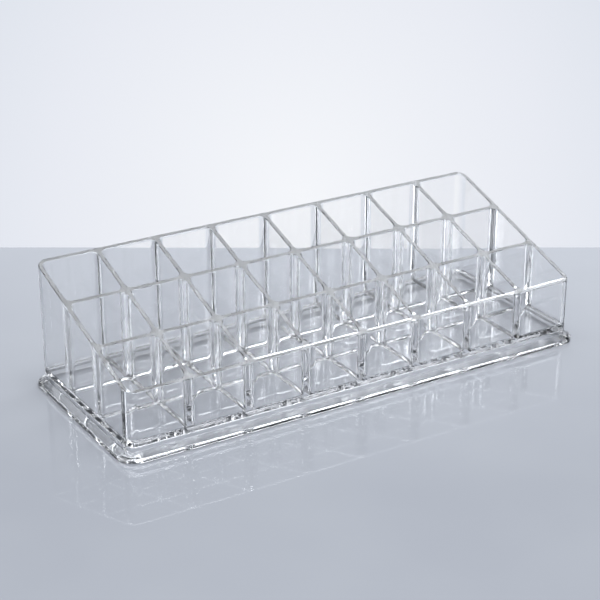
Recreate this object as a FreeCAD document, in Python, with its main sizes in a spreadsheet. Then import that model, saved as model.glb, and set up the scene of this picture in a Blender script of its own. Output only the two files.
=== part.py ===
"""Clear vanity organizer: rows of square lipstick cells under a rim that slopes from back to front.

Panels of clear plastic, welded along their edges. Four mitred walls stand in a rebate round
the base. Long and cross dividers lock together in half-lap joints and make the cells between them.
Frame: X along the length, Y from front to back, Z up, origin on the ground under the middle.
"""
import FreeCAD, Part
import math
import os
import Sketcher

SIZES = (
    ("length", 222.0, "outside length over the walls"),
    ("depth", 84.5, "outside depth over the walls, front to back"),
    ("columns", 8, "cells along the length"),
    ("rows", 3, "cells from front to back"),
    ("wall", 2.0, "thickness of the outer walls"),
    ("divider", 2.0, "thickness of the dividers"),
    ("cell_fillet", 2.8, "radius in the upright corners of a cell"),
    ("corner_radius", 5.0, "radius of the outer upright corners"),
    ("rim_back", 56.4, "height of the rim at the back"),
    ("rim_front", 29.3, "height of the rim at the front"),
    ("floor_top", 7.4, "height of the cell floors"),
    ("floor_thickness", 2.4, "thickness of the floor over the hollow underside"),
    ("rebate_height", 3.6, "height of the rebate that the walls stand in"),
    ("rebate_web", 1.4, "width of the base between the rebate and the hollow underside"),
    ("foot_flare", 3.2, "how far the foot stands out beyond the walls"),
    ("foot_land", 1.7, "upright edge at the very bottom of the foot"),
    ("lap_height", 15.0, "height of the half-lap joints above the floor"),
    ("weld_gap", 0.05, "film of solvent between welded edges"),
)
# Share of a corner's radius along each axis at its 45 degree mitre.
MITRE = math.sqrt(0.5)

doc = FreeCAD.newDocument("VanityOrganizer")
sheet = doc.addObject("Spreadsheet::Sheet", "Sizes")
for line, (alias, value, meaning) in enumerate(SIZES, start=1):
    sheet.set("A%d" % line, meaning)
    sheet.set("B%d" % line, str(value))
    sheet.setAlias("B%d" % line, alias)
doc.recompute()

# Distances from the middle of the organizer, as formulas of the sheet's sizes.
OUTER_X = "(Sizes.length / 2)"
OUTER_Y = "(Sizes.depth / 2)"
INNER_X = "(%s - Sizes.wall)" % OUTER_X
INNER_Y = "(%s - Sizes.wall)" % OUTER_Y
# Cell to cell, along the length and from front to back.
PITCH_X = "((2 * %s + Sizes.divider) / Sizes.columns)" % INNER_X
PITCH_Y = "((2 * %s + Sizes.divider) / Sizes.rows)" % INNER_Y
POST = "(Sizes.divider + 2 * Sizes.cell_fillet)"
SLOT = "(%s + 2 * Sizes.weld_gap)" % POST
INNER_RADIUS = "(Sizes.corner_radius - Sizes.wall)"


def rim_height(y):
    """Formula for the height of the sloping rim above the ground at the distance y from the middle."""
    rise = "(Sizes.rim_back - Sizes.rim_front) / (2 * %s)" % OUTER_Y
    return "(Sizes.rim_front + (%s + %s) * %s)" % (y, OUTER_Y, rise)


def new_body(label):
    body = doc.addObject("PartDesign::Body", label)
    body.Label = label
    return body


def origin_feature(body, role):
    return next(feature for feature in body.Origin.OriginFeatures if feature.Role == role)


def outline(body, name, plane, corners, offset=None):
    """Closed sketch from (x, y, arc) corners; arc is None or (centre x, centre y, radius, turns left)."""
    sketch = body.newObject("Sketcher::SketchObject", name)
    sketch.AttachmentSupport = (origin_feature(body, plane), [""])
    sketch.MapMode = "FlatFace"
    if offset:
        sketch.setExpression("AttachmentOffset.Base.z", offset)
    points = [FreeCAD.Vector(sheet.evalExpression(x), sheet.evalExpression(y), 0) for x, y, arc in corners]
    start_end = []
    for index, (x, y, arc) in enumerate(corners):
        here = points[index]
        there = points[(index + 1) % len(points)]
        if arc is None:
            sketch.addGeometry(Part.LineSegment(here, there), False)
            start_end.append((1, 2))
            continue
        centre_x, centre_y, radius, turns_left = arc
        centre = FreeCAD.Vector(sheet.evalExpression(centre_x), sheet.evalExpression(centre_y), 0)
        first, last = (here, there) if turns_left else (there, here)
        angles = [math.atan2(p.y - centre.y, p.x - centre.x) for p in (first, last)]
        circle = Part.Circle(centre, FreeCAD.Vector(0, 0, 1), sheet.evalExpression(radius))
        sketch.addGeometry(Part.ArcOfCircle(circle, angles[0], angles[1]), False)
        start_end.append((1, 2) if turns_left else (2, 1))
    for index, (x, y, arc) in enumerate(corners):
        after = (index + 1) % len(corners)
        sketch.addConstraint(Sketcher.Constraint("Coincident", index, start_end[index][1],
                                                 after, start_end[after][0]))
        for kind, formula in (("DistanceX", x), ("DistanceY", y)):
            value = sheet.evalExpression(formula)
            number = sketch.addConstraint(Sketcher.Constraint(kind, index, start_end[index][0], value))
            sketch.setExpression("Constraints[%d]" % number, formula)
        if arc is not None:
            value = sheet.evalExpression(arc[2])
            number = sketch.addConstraint(Sketcher.Constraint("Radius", index, value))
            sketch.setExpression("Constraints[%d]" % number, arc[2])
    return sketch


def polygon(*points):
    return [(x, y, None) for x, y in points]


def rounded_rectangle(centre_x, centre_y, half_x, half_y, radius):
    """Corners, turning left, of a rectangle whose four corners are arcs."""
    corners = []
    for side_x, side_y, rises in ((1, -1, False), (1, 1, True), (-1, 1, False), (-1, -1, True)):
        edge_x = "%s + %d * (%s)" % (centre_x, side_x, half_x)
        edge_y = "%s + %d * (%s)" % (centre_y, side_y, half_y)
        pivot_x = "%s - %d * (%s)" % (edge_x, side_x, radius)
        pivot_y = "%s - %d * (%s)" % (edge_y, side_y, radius)
        arc = (pivot_x, pivot_y, radius, True)
        along_x = (pivot_x, edge_y)
        along_y = (edge_x, pivot_y)
        first, last = (along_y, along_x) if rises else (along_x, along_y)
        corners += [(*first, arc), (*last, None)]
    return corners


def pad(body, sketch, length, symmetric=False):
    feature = body.newObject("PartDesign::Pad", sketch.Name + "Pad")
    feature.Profile = sketch
    feature.SideType = "Symmetric" if symmetric else "One side"
    feature.setExpression("Length", length)
    doc.recompute()
    return feature


def pocket(body, sketch, upward=False):
    """Cut the sketch through everything: both ways from an upright plane, or up from the level plane."""
    before = body.Shape.Volume
    feature = body.newObject("PartDesign::Pocket", sketch.Name + "Cut")
    feature.Profile = sketch
    feature.Type = "ThroughAll"
    feature.SideType = "One side" if upward else "Symmetric"
    feature.Reversed = upward
    doc.recompute()
    if not feature.Shape.Volume < before:
        raise RuntimeError(feature.Name + " cuts nothing")
    return feature


def repeat(body, features, axis, spacing, count):
    """Copy features in a row along an axis of the body."""
    pattern = body.newObject("PartDesign::LinearPattern", features[0].Name + "Row")
    pattern.Originals = features
    pattern.Direction = (origin_feature(body, axis), [""])
    pattern.Mode = "Spacing"
    pattern.setExpression("Offset", spacing)
    pattern.setExpression("Occurrences", count)
    body.Tip = pattern
    doc.recompute()


def base_plate():
    """Foot with a sloping edge, a rebate for the walls, a raised floor and a hollow underside."""
    body = new_body("base_plate")

    def ring(name, grow, height):
        corners = rounded_rectangle("0", "0", "%s + %s" % (OUTER_X, grow), "%s + %s" % (OUTER_Y, grow),
                                    "Sizes.corner_radius + %s" % grow)
        return outline(body, name, "XY_Plane", corners, height)

    pad(body, ring("Land", "Sizes.foot_flare", None), "Sizes.foot_land")
    slope = body.newObject("PartDesign::AdditiveLoft", "FootSlope")
    slope.Profile = ring("SlopeFoot", "Sizes.foot_flare", "Sizes.foot_land")
    slope.Sections = [ring("SlopeHead", "0", "Sizes.rebate_height")]
    slope.Ruled = True
    doc.recompute()
    inside = ("%s - Sizes.weld_gap" % INNER_X, "%s - Sizes.weld_gap" % INNER_Y)
    raised = outline(body, "Floor", "XY_Plane",
                     rounded_rectangle("0", "0", *inside, INNER_RADIUS + " - Sizes.weld_gap"),
                     "Sizes.rebate_height")
    pad(body, raised, "Sizes.floor_top - Sizes.rebate_height")
    hollow = outline(body, "Hollow", "XY_Plane",
                     rounded_rectangle("0", "0", INNER_X + " - Sizes.rebate_web",
                                       INNER_Y + " - Sizes.rebate_web", INNER_RADIUS + " - Sizes.rebate_web"))
    cut = pocket(body, hollow, upward=True)
    cut.Type = "Length"
    cut.setExpression("Length", "Sizes.floor_top - Sizes.floor_thickness")
    doc.recompute()
    return body


def slope_cut(body, foot):
    """Cut away what stands above the sloping rim; foot is the height of the body's own origin."""
    reach = "2 * " + OUTER_Y
    high = "2 * Sizes.rim_back"
    front = rim_height("-" + reach) + " - " + foot
    back = rim_height(reach) + " - " + foot
    above = polygon(("-" + reach, front), (reach, back), (reach, high), ("-" + reach, high))
    pocket(body, outline(body, "Rim", "YZ_Plane", above))


def wall(label, face, run_half, turn):
    """Wall whose ends carry half a rounded corner each, cut at the mitre; turn gives (x, y) of (out, run)."""
    body = new_body(label)
    inside = "(%s - Sizes.wall)" % face
    pivot_out = "(%s - Sizes.corner_radius)" % face
    pivot_run = "(%s - Sizes.corner_radius)" % run_half
    outer_reach = "%.9f * Sizes.corner_radius" % MITRE
    inner_reach = "%.9f * %s" % (MITRE, INNER_RADIUS)
    profile = [
        (face, "-" + pivot_run, None),
        (face, pivot_run, (pivot_out, pivot_run, "Sizes.corner_radius", True)),
        (pivot_out + " + " + outer_reach, pivot_run + " + " + outer_reach, None),
        (pivot_out + " + " + inner_reach, pivot_run + " + " + inner_reach,
         (pivot_out, pivot_run, INNER_RADIUS, False)),
        (inside, pivot_run, None),
        (inside, "-" + pivot_run, (pivot_out, "-" + pivot_run, INNER_RADIUS, False)),
        (pivot_out + " + " + inner_reach, "-(%s + %s)" % (pivot_run, inner_reach), None),
        (pivot_out + " + " + outer_reach, "-(%s + %s)" % (pivot_run, outer_reach),
         (pivot_out, "-" + pivot_run, "Sizes.corner_radius", True)),
    ]
    turned = []
    for out, run, arc in profile:
        if arc is not None:
            arc = (*turn(arc[0], arc[1]), arc[2], arc[3])
        turned.append((*turn(out, run), arc))
    pad(body, outline(body, "Plan", "XY_Plane", turned), "Sizes.rim_back")
    slope_cut(body, "Sizes.rebate_height")
    body.setExpression("Placement.Base.z", "Sizes.rebate_height")
    return body


def cell_corners(centre_x, centre_y):
    half_x = "(%s - Sizes.divider) / 2" % PITCH_X
    half_y = "(%s - Sizes.divider) / 2" % PITCH_Y
    return rounded_rectangle(centre_x, centre_y, half_x, half_y, "Sizes.cell_fillet")


def long_divider(row):
    """Divider along the length, with the upper half of the star posts and slots for the cross dividers."""
    body = new_body("long_divider_%d" % row)
    place = "(%d - Sizes.rows / 2) * %s" % (row, PITCH_Y)
    front = "-%s / 2" % POST
    back = "%s / 2" % POST
    section = polygon((front, "0"), (back, "0"),
                      (back, rim_height("%s + %s" % (place, back)) + " - Sizes.floor_top"),
                      (front, rim_height("%s - %s / 2" % (place, POST)) + " - Sizes.floor_top"))
    length = "2 * (%s - Sizes.weld_gap)" % INNER_X
    pad(body, outline(body, "Section", "YZ_Plane", section), length, symmetric=True)
    first_x = "(1 - Sizes.columns) / 2 * " + PITCH_X
    cells = [pocket(body, outline(body, name, "XY_Plane", cell_corners(first_x, middle)), upward=True)
             for name, middle in (("BackCells", PITCH_Y + " / 2"), ("FrontCells", "-%s / 2" % PITCH_Y))]
    repeat(body, cells, "X_Axis", PITCH_X, "Sizes.columns")
    crossing = "(1 - Sizes.columns / 2) * " + PITCH_X
    left = "%s - %s / 2" % (crossing, SLOT)
    right = "%s + %s / 2" % (crossing, SLOT)
    slot = polygon((left, "-Sizes.lap_height"), (right, "-Sizes.lap_height"),
                   (right, "Sizes.lap_height"), (left, "Sizes.lap_height"))
    lap = pocket(body, outline(body, "Lap", "XZ_Plane", slot))
    repeat(body, [lap], "X_Axis", PITCH_X, "Sizes.columns - 1")
    body.setExpression("Placement.Base.y", place)
    body.setExpression("Placement.Base.z", "Sizes.floor_top")
    return body


def cross_divider(column):
    """Divider from front to back, with the lower half of the star posts and slots for the long dividers."""
    body = new_body("cross_divider_%d" % column)
    front = "-(%s - Sizes.weld_gap)" % INNER_Y
    back = "(%s - Sizes.weld_gap)" % INNER_Y
    side = polygon((front, "0"), (back, "0"), (back, rim_height(back) + " - Sizes.floor_top"),
                   (front, rim_height(front) + " - Sizes.floor_top"))
    pad(body, outline(body, "Side", "YZ_Plane", side), POST, symmetric=True)
    first_y = "(1 - Sizes.rows) / 2 * " + PITCH_Y
    cells = [pocket(body, outline(body, name, "XY_Plane", cell_corners(middle, first_y)), upward=True)
             for name, middle in (("RightCells", PITCH_X + " / 2"), ("LeftCells", "-%s / 2" % PITCH_X))]
    repeat(body, cells, "Y_Axis", PITCH_Y, "Sizes.rows")
    crossing = "(1 - Sizes.rows / 2) * " + PITCH_Y
    near = "%s - %s / 2" % (crossing, SLOT)
    far = "%s + %s / 2" % (crossing, SLOT)
    high = "2 * Sizes.rim_back"
    slot = polygon((near, "Sizes.lap_height"), (far, "Sizes.lap_height"), (far, high), (near, high))
    lap = pocket(body, outline(body, "Lap", "YZ_Plane", slot))
    repeat(body, [lap], "Y_Axis", PITCH_Y, "Sizes.rows - 1")
    body.setExpression("Placement.Base.x", "(%d - Sizes.columns / 2) * %s" % (column, PITCH_X))
    body.setExpression("Placement.Base.z", "Sizes.floor_top")
    return body


def negative(formula):
    return "-(%s)" % formula


pieces = [
    base_plate(),
    wall("front_wall", OUTER_Y, OUTER_X, lambda out, run: (run, negative(out))),
    wall("back_wall", OUTER_Y, OUTER_X, lambda out, run: (negative(run), out)),
    wall("left_wall", OUTER_X, OUTER_Y, lambda out, run: (negative(out), negative(run))),
    wall("right_wall", OUTER_X, OUTER_Y, lambda out, run: (out, run)),
]
pieces += [long_divider(row) for row in range(1, int(sheet.rows))]
pieces += [cross_divider(column) for column in range(1, int(sheet.columns))]
doc.recompute()

for item in doc.Objects:
    if "Invalid" in item.State or "Error" in item.State:
        raise RuntimeError("%s did not rebuild: %s" % (item.Name, item.State))
for piece in pieces:
    if piece.Shape.isNull() or not piece.Shape.isValid() or len(piece.Shape.Solids) != 1:
        raise RuntimeError("%s is not one sound solid" % piece.Label)

os.makedirs("parts", exist_ok=True)
for piece in pieces:
    piece.Shape.exportStep("parts/%s.step" % piece.Label)
    box = piece.Shape.BoundBox
    print("%-18s %7.2f x %6.2f x %6.2f mm  %9.1f mm3"
          % (piece.Label, box.XLength, box.YLength, box.ZLength, piece.Shape.Volume))
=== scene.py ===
# %% [markdown]
# # A clear vanity organizer
# The real thing is a clear, glossy holder: three rows of eight square cells for lipsticks, under a rim that
# slopes from a tall back to a low front, on a foot with a sloping brim. We load the measured CAD frame first,
# because every panel that is made here has to sit exactly where the frame's panel is.

# %% Load the frame
import bmesh
import bpy
import math
from mathutils import Matrix, Vector


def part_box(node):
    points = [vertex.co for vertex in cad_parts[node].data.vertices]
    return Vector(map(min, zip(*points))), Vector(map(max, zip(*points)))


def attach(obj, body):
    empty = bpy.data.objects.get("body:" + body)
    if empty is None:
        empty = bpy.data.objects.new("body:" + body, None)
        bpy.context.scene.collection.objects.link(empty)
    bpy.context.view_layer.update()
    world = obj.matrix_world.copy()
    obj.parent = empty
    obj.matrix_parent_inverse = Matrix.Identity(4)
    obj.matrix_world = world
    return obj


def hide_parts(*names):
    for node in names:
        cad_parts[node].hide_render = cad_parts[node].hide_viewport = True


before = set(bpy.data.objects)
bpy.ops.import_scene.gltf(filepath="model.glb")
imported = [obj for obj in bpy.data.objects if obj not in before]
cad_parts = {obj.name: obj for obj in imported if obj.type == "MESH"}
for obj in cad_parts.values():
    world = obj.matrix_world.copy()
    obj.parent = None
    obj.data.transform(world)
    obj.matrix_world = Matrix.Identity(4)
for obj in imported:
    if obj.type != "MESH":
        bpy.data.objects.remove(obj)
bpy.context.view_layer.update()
MM = 0.001

# %% [markdown]
# ## Camera
# A long lens stands in front of the organizer's left end and looks down on it, with the horizon level.
# Blender could aim it with a constraint, but a plain place and direction stay readable and need no helper.

# %% Camera
camera_place = Vector((-364.01, -585.42, 327.48)) * MM
towards_camera = Vector((-0.47861, -0.78303, 0.39724))
lens = bpy.data.cameras.new("studio_camera")
lens.sensor_width = 36.0
lens.lens = 103.05
lens.clip_start = 0.05
camera = bpy.data.objects.new("studio_camera", lens)
camera.location = camera_place
camera.rotation_euler = towards_camera.to_track_quat("Z", "Y").to_euler()
bpy.context.scene.collection.objects.link(camera)
bpy.context.scene.camera = camera
print("camera %.0f mm away, %.1f mm lens" % (camera_place.length / MM, lens.lens))

# %% [markdown]
# ## Small helpers for materials
# Colours are picked as the hex values that a paint program shows. Blender's shaders work in linear light, so
# one function turns a hex value to linear. Another adds a node, sets its values and links its inputs, which
# keeps each material below short enough to read at a glance. Two more start a material and fill a ramp.


# %% Colour and node helpers
def linear(hex_colour):
    """The linear RGBA of an sRGB hex colour."""
    parts = [int(hex_colour[i:i + 2], 16) / 255 for i in (0, 2, 4)]
    return [p / 12.92 if p <= 0.04045 else ((p + 0.055) / 1.055) ** 2.4 for p in parts] + [1.0]


def add_node(tree, kind, settings=(), inputs=(), links=()):
    """Add a node; settings are its own properties, inputs its values and links the sockets that feed it."""
    node = tree.nodes.new(kind)
    for name, value in dict(settings).items():
        setattr(node, name, value)
    for name, value in dict(inputs).items():
        node.inputs[name].default_value = value
    for name, socket in dict(links).items():
        tree.links.new(socket, node.inputs[name])
    return node


def new_material(name):
    """An empty node material."""
    material = bpy.data.materials.new(name)
    material.use_nodes = True
    material.node_tree.nodes.clear()
    return material


def set_stops(ramp_node, *stops):
    """Put (place, hex colour) stops on a colour ramp that still has its two own stops."""
    elements = ramp_node.color_ramp.elements
    elements[0].position, elements[1].position = stops[0][0], stops[-1][0]
    elements[0].color, elements[1].color = linear(stops[0][1]), linear(stops[-1][1])
    for place, colour in stops[1:-1]:
        elements.new(place).color = linear(colour)


print("mid grey 808080 is %.3f in linear light" % linear("808080")[0])

# %% [markdown]
# ## Clear plastic
# Polystyrene and acrylic bend light alike, with an index of refraction near 1.5, and a polished mould leaves
# them as smooth as glass. What tells moulded plastic from glass is a faint waviness in the walls, a few
# hundredths of a millimetre over a centimetre or so, which makes straight lines behind it tremble a little.
# Light also has to reach the table through the organizer. Tracing that exactly needs caustics, which are
# slow and grainy, so shadow and diffuse rays pass straight through here, and lose some light only where they
# graze an edge, or pass the foot, whose sloping brim bends light away from the line where it stands. That
# gives the soft grey lines, and the darker line round the foot, that a clear box throws on a table.

# %% Clear plastic
clear_plastic = new_material("clear_moulded_polystyrene")
tree = clear_plastic.node_tree
place = add_node(tree, "ShaderNodeTexCoord")
flow = add_node(tree, "ShaderNodeTexNoise", inputs={"Scale": 70.0, "Detail": 1.0},
                links={"Vector": place.outputs["Object"]})
waves = add_node(tree, "ShaderNodeBump", inputs={"Strength": 0.25, "Distance": 0.03 * MM},
                 links={"Height": flow.outputs["Fac"]})
handling = add_node(tree, "ShaderNodeMapRange",
                    inputs={"From Min": 0.45, "From Max": 0.8, "To Min": 0.0, "To Max": 0.008},
                    links={"Value": flow.outputs["Fac"]})
plastic = add_node(tree, "ShaderNodeBsdfPrincipled",
                   inputs={"Base Color": linear("FFFFFF"), "IOR": 1.5, "Transmission Weight": 1.0},
                   links={"Roughness": handling.outputs["Result"], "Normal": waves.outputs["Normal"]})
ray = add_node(tree, "ShaderNodeLightPath")
straight = add_node(tree, "ShaderNodeMath", {"operation": "MAXIMUM"},
                    links={0: ray.outputs["Is Shadow Ray"], 1: ray.outputs["Is Diffuse Ray"]})
grazing = add_node(tree, "ShaderNodeLayerWeight", inputs={"Blend": 0.5})
shade = add_node(tree, "ShaderNodeValToRGB", links={"Fac": grazing.outputs["Facing"]})
set_stops(shade, (0.6, "FEFEFE"), (1.0, "6C7076"))
height = add_node(tree, "ShaderNodeSeparateXYZ", links={"Vector": place.outputs["Object"]})
at_foot = add_node(tree, "ShaderNodeMapRange",
                   inputs={"From Min": 0.5 * MM, "From Max": 5 * MM, "To Min": 0.25, "To Max": 1.0},
                   links={"Value": height.outputs["Z"]})
dimmed = add_node(tree, "ShaderNodeVectorMath", {"operation": "SCALE"},
                  links={"Vector": shade.outputs["Color"], "Scale": at_foot.outputs["Result"]})
passing = add_node(tree, "ShaderNodeBsdfTransparent", links={"Color": dimmed.outputs["Vector"]})
seen_or_passing = add_node(tree, "ShaderNodeMixShader", links={
    0: straight.outputs["Value"], 1: plastic.outputs["BSDF"], 2: passing.outputs["BSDF"]})
add_node(tree, "ShaderNodeOutputMaterial", links={"Surface": seen_or_passing.outputs["Shader"]})
print("%s: IOR %.2f" % (clear_plastic.name, plastic.inputs["IOR"].default_value))

# %% [markdown]
# ## Solvent weld
# The panels are joined with solvent, which melts the two faces into one and leaves no air between them.
# Without air there is no change of index, so a weld can't be seen at all. The faces where the panels meet
# therefore get a material of their own that lets every ray pass straight through.

# %% Solvent weld
weld = new_material("solvent_weld")
film = add_node(weld.node_tree, "ShaderNodeBsdfTransparent", inputs={"Color": linear("FFFFFF")})
add_node(weld.node_tree, "ShaderNodeOutputMaterial", links={"Surface": film.outputs["BSDF"]})
CLEAR, WELD = 0, 1
print("%s on the faces between panels" % weld.name)

# %% [markdown]
# ## Sizes
# The outside, the floor and the places of the dividers are read from the frame, so the visual panels follow
# the solids. Only what a solid's box can't tell is written here: thicknesses, radii, the upright land of the
# foot and the low front rim.

# %% Sizes from the frame
foot_low, foot_high = (Vector(corner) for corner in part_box("base_plate"))
half_x = -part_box("left_wall")[0][0]
half_y = -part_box("front_wall")[0][1]
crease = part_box("front_wall")[0][2]
rim_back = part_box("back_wall")[1][2]
floor_top = foot_high.z
flare = -foot_low.x - half_x


def middles(kind, axis):
    """Sorted middles, along one axis, of the nodes whose names start with kind."""
    boxes = [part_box(node) for node in sorted(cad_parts) if node.startswith(kind)]
    return sorted((low[axis] + high[axis]) / 2 for low, high in boxes)


cross_x = middles("cross_divider_", 0)
long_y = middles("long_divider_", 1)
rim_front = 29.3 * MM
wall = 2.0 * MM
floor_thickness = 2.4 * MM
floor_under = floor_top - floor_thickness
land = 1.7 * MM
outer_corner = 5.0 * MM
cell_corner = 2.8 * MM
floor_cove = 1.2 * MM
inner_x, inner_y = half_x - wall, half_y - wall
pitch_x = (2 * inner_x + wall) / (len(cross_x) + 1)
pitch_y = (2 * inner_y + wall) / (len(long_y) + 1)
rim_slope = (rim_back - rim_front) / (2 * half_y)
rim_point = Vector((0, -half_y, rim_front))
rim_normal = Vector((0, -rim_slope, 1)).normalized()
print("walls %.1f x %.1f mm, cells %.1f x %.1f mm apart, brim %.1f mm wide"
      % (2 * half_x / MM, 2 * half_y / MM, pitch_x / MM, pitch_y / MM, flare / MM))

# %% [markdown]
# ## The foot
# Every shape below starts as a slab with rounded upright edges, made from a box. A bevel modifier could round
# the edges too, but bmesh does it at once and leaves a plain mesh for the next step. The first slab is the
# upright land of the foot.


# %% Foot slab
def box_between(bm, low, high):
    """A box between two corners."""
    low, high = Vector(low), Vector(high)
    made = bmesh.ops.create_cube(bm, size=1.0)
    bmesh.ops.scale(bm, vec=high - low, verts=made["verts"])
    bmesh.ops.translate(bm, vec=(low + high) / 2, verts=made["verts"])


def round_edges(bm, edges, radius, segments):
    """Round some edges to a radius."""
    bmesh.ops.bevel(bm, geom=edges, offset=radius, affect="EDGES", segments=segments, profile=0.5,
                    material=-1)


def rounded_slab(bm, x, y, low, high, radius, segments=12):
    """A slab of half sizes x and y with rounded upright edges; returns its top face."""
    box_between(bm, (-x, -y, low), (x, y, high))
    upright = [e for e in bm.edges if abs(e.verts[0].co.z - e.verts[1].co.z) > 0.5 * (high - low)]
    round_edges(bm, upright, radius, segments)
    return max(bm.faces, key=lambda face: face.calc_center_median().z)


bm = bmesh.new()
top = rounded_slab(bm, half_x + flare, half_y + flare, 0, land, outer_corner + flare)
print("foot slab: %d faces, %.1f mm high" % (len(bm.faces), land / MM))

# %% [markdown]
# ## The outer block
# A step inwards and upwards on the slab's top face makes the brim, which slopes up to the crease. The walls
# rise straight from there, and the slanting plane of the rim cuts them off.


# %% Outer block
def corners(geom):
    """The vertices among the geometry that an operator returns."""
    return [item for item in geom if isinstance(item, bmesh.types.BMVert)]


def step_up(bm, top, inwards, upwards, height):
    """Slope the top face inwards and upwards, then raise it straight to a height."""
    bmesh.ops.inset_region(bm, faces=[top], thickness=inwards, depth=upwards, use_even_offset=True)
    raised = bmesh.ops.extrude_face_region(bm, geom=[top])
    for vertex in corners(raised["geom"]):
        vertex.co.z = height
    bmesh.ops.delete(bm, geom=[top], context="FACES")
    bmesh.ops.recalc_face_normals(bm, faces=bm.faces)


over = 2 * rim_back
step_up(bm, top, flare, crease - land, over)
everything = bm.verts[:] + bm.edges[:] + bm.faces[:]
cut = bmesh.ops.bisect_plane(bm, geom=everything, plane_co=rim_point, plane_no=rim_normal, clear_outer=True)
bmesh.ops.edgeloop_fill(bm, edges=[e for e in cut["geom_cut"] if isinstance(e, bmesh.types.BMEdge)])
bmesh.ops.recalc_face_normals(bm, faces=bm.faces)
print("outer block: %d faces" % len(bm.faces))

# %% [markdown]
# ## From shape to object
# A Boolean works on objects, so a shape becomes an object before it is cut or cuts. Every one gets both
# materials. A cutter's faces keep theirs through the cut, which is how the welds are marked later.


# %% Block object
def as_object(name, bm, face_material=CLEAR):
    """A scene object of the bmesh, with both materials and all faces on one of them."""
    for face in bm.faces:
        face.material_index = face_material
    mesh = bpy.data.meshes.new(name)
    bm.to_mesh(mesh)
    bm.free()
    mesh.materials.append(clear_plastic)
    mesh.materials.append(weld)
    thing = bpy.data.objects.new(name, mesh)
    bpy.context.scene.collection.objects.link(thing)
    return thing


block = as_object("block", bm)
print("block: %.1f mm high" % (block.dimensions.z / MM))

# %% [markdown]
# ## The cells
# Each cell is a pocket with rounded corners and a small cove round its floor, as any moulding tool has. The
# coves matter to the eye: they are the bright lines that outline every floor.

# %% Cells
NEAR = 1e-6


def level_edges(bm, height):
    """The edges that lie level at a height."""
    return [e for e in bm.edges if all(abs(v.co.z - height) < NEAR for v in e.verts)]


bm = bmesh.new()
rounded_slab(bm, (pitch_x - wall) / 2, (pitch_y - wall) / 2, floor_top, over, cell_corner, segments=8)
round_edges(bm, level_edges(bm, floor_top), floor_cove, segments=6)
pattern = bm.verts[:] + bm.edges[:] + bm.faces[:]
columns, rows = len(cross_x) + 1, len(long_y) + 1
for column in range(columns):
    for row in range(rows):
        spot = Vector(((column - (columns - 1) / 2) * pitch_x, (row - (rows - 1) / 2) * pitch_y, 0))
        copy = bmesh.ops.duplicate(bm, geom=pattern)
        bmesh.ops.translate(bm, vec=spot, verts=corners(copy["geom"]))
bmesh.ops.delete(bm, geom=corners(pattern), context="VERTS")
print("%d cells" % (columns * rows))
cells = as_object("cells", bm)

# %% [markdown]
# ## The hollow underside
# Mouldings like this are often hollow underneath. This underside doesn't show, so its form is a guess: the
# brim is a sloping sheet, a little thicker at its root, and not a solid wedge. With a flat bottom it would
# act as a mirror prism and fill with sparkles, while an underside that slopes up about twenty degrees lets
# the table show through, plain and pale.

# %% Hollow underside
foot_edge = 0.6 * MM
under_slope = math.tan(math.radians(20))
run = flare - foot_edge + wall
below_foot = 1 * MM
hollow_edge = 0.5 * MM
bm = bmesh.new()
top = rounded_slab(bm, half_x + flare - foot_edge, half_y + flare - foot_edge, -below_foot, 0,
                   outer_corner + flare - foot_edge)
step_up(bm, top, run, run * under_slope, floor_under)
round_edges(bm, level_edges(bm, floor_under), hollow_edge, segments=4)
hollow = as_object("hollow", bm)
print("hollow: slopes up to %.1f mm, then straight to %.1f mm" % (run * under_slope / MM, floor_under / MM))

# %% [markdown]
# ## Carving
# Cells could be built wall by wall, but they are plain pockets in a block, so Booleans suit them. The
# manifold solver is quick, and it takes closed solids only, which is why every shape here is closed.


# %% Carve the block
def carved(thing, cutter, operation="DIFFERENCE"):
    """The mesh that a Boolean of the two objects gives."""
    knife = thing.modifiers.new("knife", "BOOLEAN")
    knife.object = cutter
    knife.operation = operation
    knife.solver = "MANIFOLD"
    seen = thing.evaluated_get(bpy.context.evaluated_depsgraph_get())
    mesh = bpy.data.meshes.new_from_object(seen)
    thing.modifiers.remove(knife)
    return mesh


block.data = carved(block, cells)
block.data = carved(block, hollow)
print("carved block: %d faces" % len(block.data.polygons))

# %% [markdown]
# ## Softened edges
# No edge of a polished moulding is sharp. A tiny radius along the rim, the land and the crease catches the
# light as a fine line. Bevelling only the edges that we pick keeps the mesh light.

# %% Softened edges
rim_radius, land_radius, crease_radius = 0.35 * MM, 0.5 * MM, 0.3 * MM
sharp_turn = 0.3
bm = bmesh.new()
bm.from_mesh(block.data)
bmesh.ops.remove_doubles(bm, verts=bm.verts, dist=NEAR)


def sharp(edge):
    """Whether the surface turns clearly at an edge."""
    return len(edge.link_faces) == 2 and edge.calc_face_angle() > sharp_turn


def on_rim(edge):
    """Whether an edge lies in the plane of the rim."""
    return all(abs((v.co - rim_point).dot(rim_normal)) < 2 * NEAR for v in edge.verts)


round_edges(bm, [e for e in bm.edges if on_rim(e) and sharp(e)], rim_radius, segments=4)
round_edges(bm, [e for e in level_edges(bm, land) if sharp(e)], land_radius, segments=4)
round_edges(bm, [e for e in level_edges(bm, crease) if sharp(e)], crease_radius, segments=3)
bm.to_mesh(block.data)
print("whole organizer: %d faces, %d open edges"
      % (len(bm.faces), sum(len(e.link_faces) != 2 for e in bm.edges)))
bm.free()

# %% [markdown]
# ## Sawing it into panels
# The frame has fourteen panels, the base among them, and each gets a visual piece of its own. Making each
# panel by itself would leave tiny steps where two of them meet, so we saw the finished shape along the joints
# instead. The saw's faces are the welds. The base comes off first: all below the crease, with the raised
# floor between the walls. The saw stays a hair above the floor, since two faces in one plane can leave open
# edges.

# %% Base
HAIR = 0.03 * MM
base_margin = 12 * MM


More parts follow.
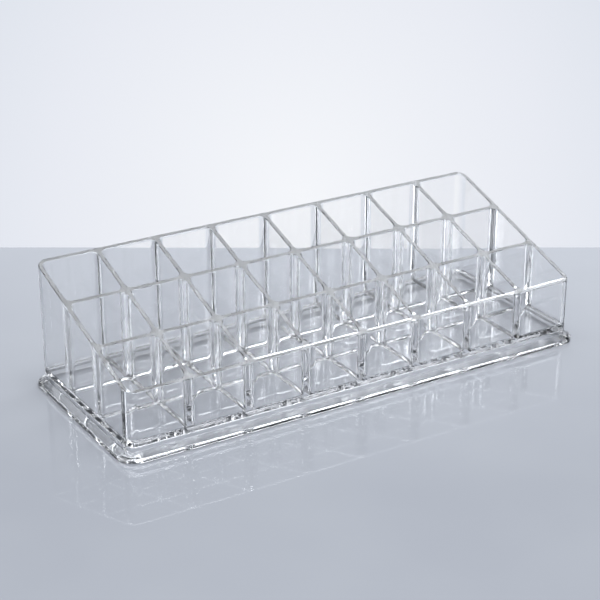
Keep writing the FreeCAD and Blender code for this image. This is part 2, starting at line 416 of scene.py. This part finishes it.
def saw_off(make_saw):
    """Saw the block in two: the mesh inside the saw comes off and the block keeps the rest."""
    bm = bmesh.new()
    make_saw(bm)
    saw = as_object("saw", bm, WELD)
    off = carved(block, saw, "INTERSECT")
    block.data = carved(block, saw, "DIFFERENCE")
    bpy.data.objects.remove(saw)
    return off


def base_saw(bm):
    """All below the crease, and the raised floor between the walls."""
    slab_top = rounded_slab(bm, inner_x + base_margin, inner_y + base_margin, -below_foot, crease,
                            outer_corner - wall + base_margin)
    step_up(bm, slab_top, base_margin, 0, floor_top + HAIR)


base_mesh = saw_off(base_saw)
print("base: %d faces" % len(base_mesh.polygons))

# %% [markdown]
# ## Cross dividers
# A cross divider is a comb. Where it crosses a long divider it keeps the lower part of the post, and a notch
# leaves the upper part to the long divider: the half-lap joint of egg-crate shelves. Its saw is a comb too.

# %% Cross dividers
post_margin = 0.3 * MM
lap_height = 15.0 * MM
post = wall / 2 + cell_corner + post_margin
lap = floor_top + lap_height


def prism(bm, outline, along):
    """A prism: the outline of a few corner points, extruded along a vector."""
    face = bm.faces.new([bm.verts.new(point) for point in outline])
    raised = bmesh.ops.extrude_face_region(bm, geom=[face])
    bmesh.ops.translate(bm, vec=along, verts=corners(raised["geom"]))
    bmesh.ops.recalc_face_normals(bm, faces=bm.faces)


def cross_saw(bm):
    """A comb for each cross divider, notched over the long dividers."""
    end = inner_y - HAIR
    for x in cross_x:
        outline = [(-end, floor_under), (end, floor_under), (end, over)]
        for y in reversed(long_y):
            outline += [(y + post, over), (y + post, lap), (y - post, lap), (y - post, over)]
        outline.append((-end, over))
        prism(bm, [(x - post, y, z) for y, z in outline], (2 * post, 0, 0))


cross_mesh = saw_off(cross_saw)
print("cross dividers: %d faces, notched from %.1f mm up" % (len(cross_mesh.polygons), lap / MM))

# %% [markdown]
# ## Long dividers
# With the cross dividers gone, a plain box takes out each long divider. It is a little wider than the notches
# of the combs, so that no two cuts lie in one plane.

# %% Long dividers
past_notch = 0.83 * MM


def long_saw(bm):
    """A box round each long divider."""
    end = inner_x - HAIR
    reach = post + past_notch
    for y in long_y:
        box_between(bm, (-end, y - reach, floor_under), (end, y + reach, over))


long_mesh = saw_off(long_saw)
print("long dividers: %d faces" % len(long_mesh.polygons))

# %% [markdown]
# ## Walls
# What is left is a ring of four walls. Two wedges cut it at the mitres: the front and back walls lie inside
# them and the end walls outside. The wedges are two hairs wide of the true mitre, so that the cut doesn't run
# exactly through the middle points of the rounded corners.

# %% Walls
mitre_depth = 9 * MM


def mitre_saw(bm):
    """A wedge at the front and one at the back, with their slanting sides in the mitres."""
    end = half_x + 2 * HAIR
    for side in (-1, 1):
        outside, inside = side * (half_y + mitre_depth), side * (half_y - mitre_depth)
        outline = [(-end - mitre_depth, outside, 0), (end + mitre_depth, outside, 0),
                   (end - mitre_depth, inside, 0), (-end + mitre_depth, inside, 0)]
        prism(bm, outline, (0, 0, over))


front_back_mesh = saw_off(mitre_saw)
left_right_mesh = block.data
for scrap in (block, cells, hollow):
    bpy.data.objects.remove(scrap)
print("front and back: %d faces, ends: %d faces"
      % (len(front_back_mesh.polygons), len(left_right_mesh.polygons)))

# %% [markdown]
# ## One piece for each panel
# The sawn meshes hold several panels each. A panel is picked out by where its faces lie, shaded smooth with
# hard edges only where the surface turns sharply, and put in the place of its node.

# %% Panels
FAR = 1.0
hard_angle = math.radians(32)


def panel(node, mesh, axis=0, low=-FAR, high=FAR):
    """The visual piece of a node: the mesh's faces whose middle lies between low and high along an axis."""
    bm = bmesh.new()
    bm.from_mesh(mesh)
    others = [f for f in bm.faces if not low < f.calc_center_median()[axis] < high]
    bmesh.ops.delete(bm, geom=others, context="FACES")
    open_edges = sum(len(e.link_faces) != 2 for e in bm.edges)
    for face in bm.faces:
        face.smooth = True
    own = bpy.data.meshes.new(node)
    bm.to_mesh(own)
    bm.free()
    own.set_sharp_from_angle(angle=hard_angle)
    own.materials.append(clear_plastic)
    own.materials.append(weld)
    piece = bpy.data.objects.new(node + "_clear", own)
    bpy.context.scene.collection.objects.link(piece)
    piece.modifiers.new("even_normals", "WEIGHTED_NORMAL").keep_sharp = True
    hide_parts(node)
    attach(piece, "root")
    print("%-16s %5d faces, %d open edges" % (node, len(own.polygons), open_edges))


panel("base_plate", base_mesh)
for number, x in enumerate(cross_x, start=1):
    panel("cross_divider_%d" % number, cross_mesh, 0, x - pitch_x / 2, x + pitch_x / 2)
for number, y in enumerate(long_y, start=1):
    panel("long_divider_%d" % number, long_mesh, 1, y - pitch_y / 2, y + pitch_y / 2)
panel("front_wall", front_back_mesh, 1, high=0.0)
panel("back_wall", front_back_mesh, 1, low=0.0)
panel("left_wall", left_right_mesh, 0, high=0.0)
panel("right_wall", left_right_mesh, 0, low=0.0)

# %% [markdown]
# ## Table
# The organizer stands on a pale, polished top whose far edge closes the picture behind it. Polished stone
# mirrors more at a flat angle, so the uprights show again below the foot. The top lies a hair under the foot,
# so that the two faces don't fight.

# %% Table
heading = Vector((-towards_camera.x, -towards_camera.y, 0)).normalized()
edge_away = 825 * MM
half_width, depth, thickness = 1.6, 2.2, 0.02
gap = 0.05 * MM
bm = bmesh.new()
box_between(bm, (-half_width, -depth, -thickness), (half_width, 0, -gap))
far_edge = Vector((camera_place.x, camera_place.y, 0)) + heading * edge_away
turn = Matrix.Rotation(math.atan2(-heading.x, heading.y), 4, "Z")
bmesh.ops.transform(bm, matrix=Matrix.Translation(far_edge) @ turn, verts=bm.verts)
table_mesh = bpy.data.meshes.new("table_top")
bm.to_mesh(table_mesh)
bm.free()
table = bpy.data.objects.new("table_top", table_mesh)
bpy.context.scene.collection.objects.link(table)
print("table ends %.0f mm from the camera" % (edge_away / MM))

# %% [markdown]
# ## Table finish
# Stone that is polished and sealed mirrors twice, at the clear coat and at the stone under it. An image could
# give it a pattern, but none shows here, so a faint clouding in colour and polish, some ten centimetres
# across, is enough to keep it from looking like paint.

# %% Table finish
stone = new_material("polished_pale_stone")
tree = stone.node_tree
place = add_node(tree, "ShaderNodeTexCoord")
clouds = add_node(tree, "ShaderNodeTexNoise", inputs={"Scale": 9.0, "Detail": 3.0},
                  links={"Vector": place.outputs["Object"]})
tint = add_node(tree, "ShaderNodeValToRGB", links={"Fac": clouds.outputs["Fac"]})
set_stops(tint, (0.35, "CCCFD6"), (0.65, "D2D5DB"))
polish = add_node(tree, "ShaderNodeMapRange", inputs={"To Min": 0.02, "To Max": 0.06},
                  links={"Value": clouds.outputs["Fac"]})
top_coat = add_node(tree, "ShaderNodeBsdfPrincipled",
                    inputs={"IOR": 1.6, "Coat Weight": 1.0, "Coat Roughness": 0.01, "Coat IOR": 1.65},
                    links={"Base Color": tint.outputs["Color"], "Roughness": polish.outputs["Result"]})
add_node(tree, "ShaderNodeOutputMaterial", links={"Surface": top_coat.outputs["BSDF"]})
table_mesh.materials.append(stone)
print("%s: IOR %.2f" % (stone.name, top_coat.inputs["IOR"].default_value))

# %% [markdown]
# ## Backdrop
# Clear plastic shows little but its surroundings, so the room matters as much as the shape. Behind the object
# the backdrop is nearly white and falls off softly to the sides. On the camera's side the room is dark, as a
# photographer's black cards would make it: that dark is what draws the crisp lines along posts and edges.

# %% Backdrop
world = bpy.data.worlds.new("studio")
bpy.context.scene.world = world
world.use_nodes = True
tree = world.node_tree
tree.nodes.clear()
level, drop = 0.94, 0.34
behind = Vector((heading.x * level, heading.y * level, -drop))
direction = add_node(tree, "ShaderNodeTexCoord")
away = add_node(tree, "ShaderNodeVectorMath", {"operation": "DISTANCE"}, {1: behind},
                {0: direction.outputs["Generated"]})
half_away = add_node(tree, "ShaderNodeMath", {"operation": "MULTIPLY"}, {1: 0.5}, {0: away.outputs["Value"]})
room = add_node(tree, "ShaderNodeValToRGB", links={"Fac": half_away.outputs["Value"]})
set_stops(room, (0.0, "F5F7FB"), (0.0715, "E8EBF3"), (0.111, "DEE3EC"), (0.24, "E2E6EE"), (0.36, "D0D4DC"),
          (0.42, "4A4D54"), (0.6, "101215"), (1.0, "08090B"))
glow = add_node(tree, "ShaderNodeBackground", inputs={"Strength": 1.0},
                links={"Color": room.outputs["Color"]})
add_node(tree, "ShaderNodeOutputWorld", links={"Surface": glow.outputs["Background"]})
print("room: %d tones from bright to dark" % len(room.color_ramp.elements))

# %% [markdown]
# ## Lamps
# Four softboxes: one above and behind on the right, in the direction where the rims mirror it to the camera,
# a small one at either end that draws bright lines along the uprights, and a large one high in front that
# lights the table and doesn't mirror in it towards the camera.


# %% Lamps
def softbox(name, place, width, height, watts):
    """A rectangular lamp that faces the organizer."""
    lamp = bpy.data.lights.new(name, "AREA")
    lamp.shape = "RECTANGLE"
    lamp.size, lamp.size_y = width, height
    lamp.energy = watts
    lamp.color = linear("F5F9FF")[:3]
    holder = bpy.data.objects.new(name, lamp)
    holder.location = place
    holder.rotation_euler = Vector(place).to_track_quat("Z", "Y").to_euler()
    bpy.context.scene.collection.objects.link(holder)
    print("%s: %.0f W from %.2f m" % (name, watts, Vector(place).length))


softbox("overhead_softbox", (0.56, 0.51, 0.99), 0.7, 0.5, 7.2)
softbox("left_softbox", (-1.02, 0.63, 0.4), 0.4, 0.4, 5)
softbox("right_softbox", (1.02, -0.63, 0.4), 0.4, 0.4, 4)
softbox("front_softbox", (-0.2, -0.45, 1.15), 0.8, 0.8, 9)

# %% [markdown]
# ## Light paths
# A ray that enters a clear panel may bounce many times before it leaves it, so the limits are higher than
# usual.

# %% Light paths
scene = bpy.context.scene
scene.view_settings.view_transform = "Standard"
scene.cycles.max_bounces = 40
scene.cycles.transmission_bounces = 40
scene.cycles.glossy_bounces = 12
scene.cycles.transparent_max_bounces = 64
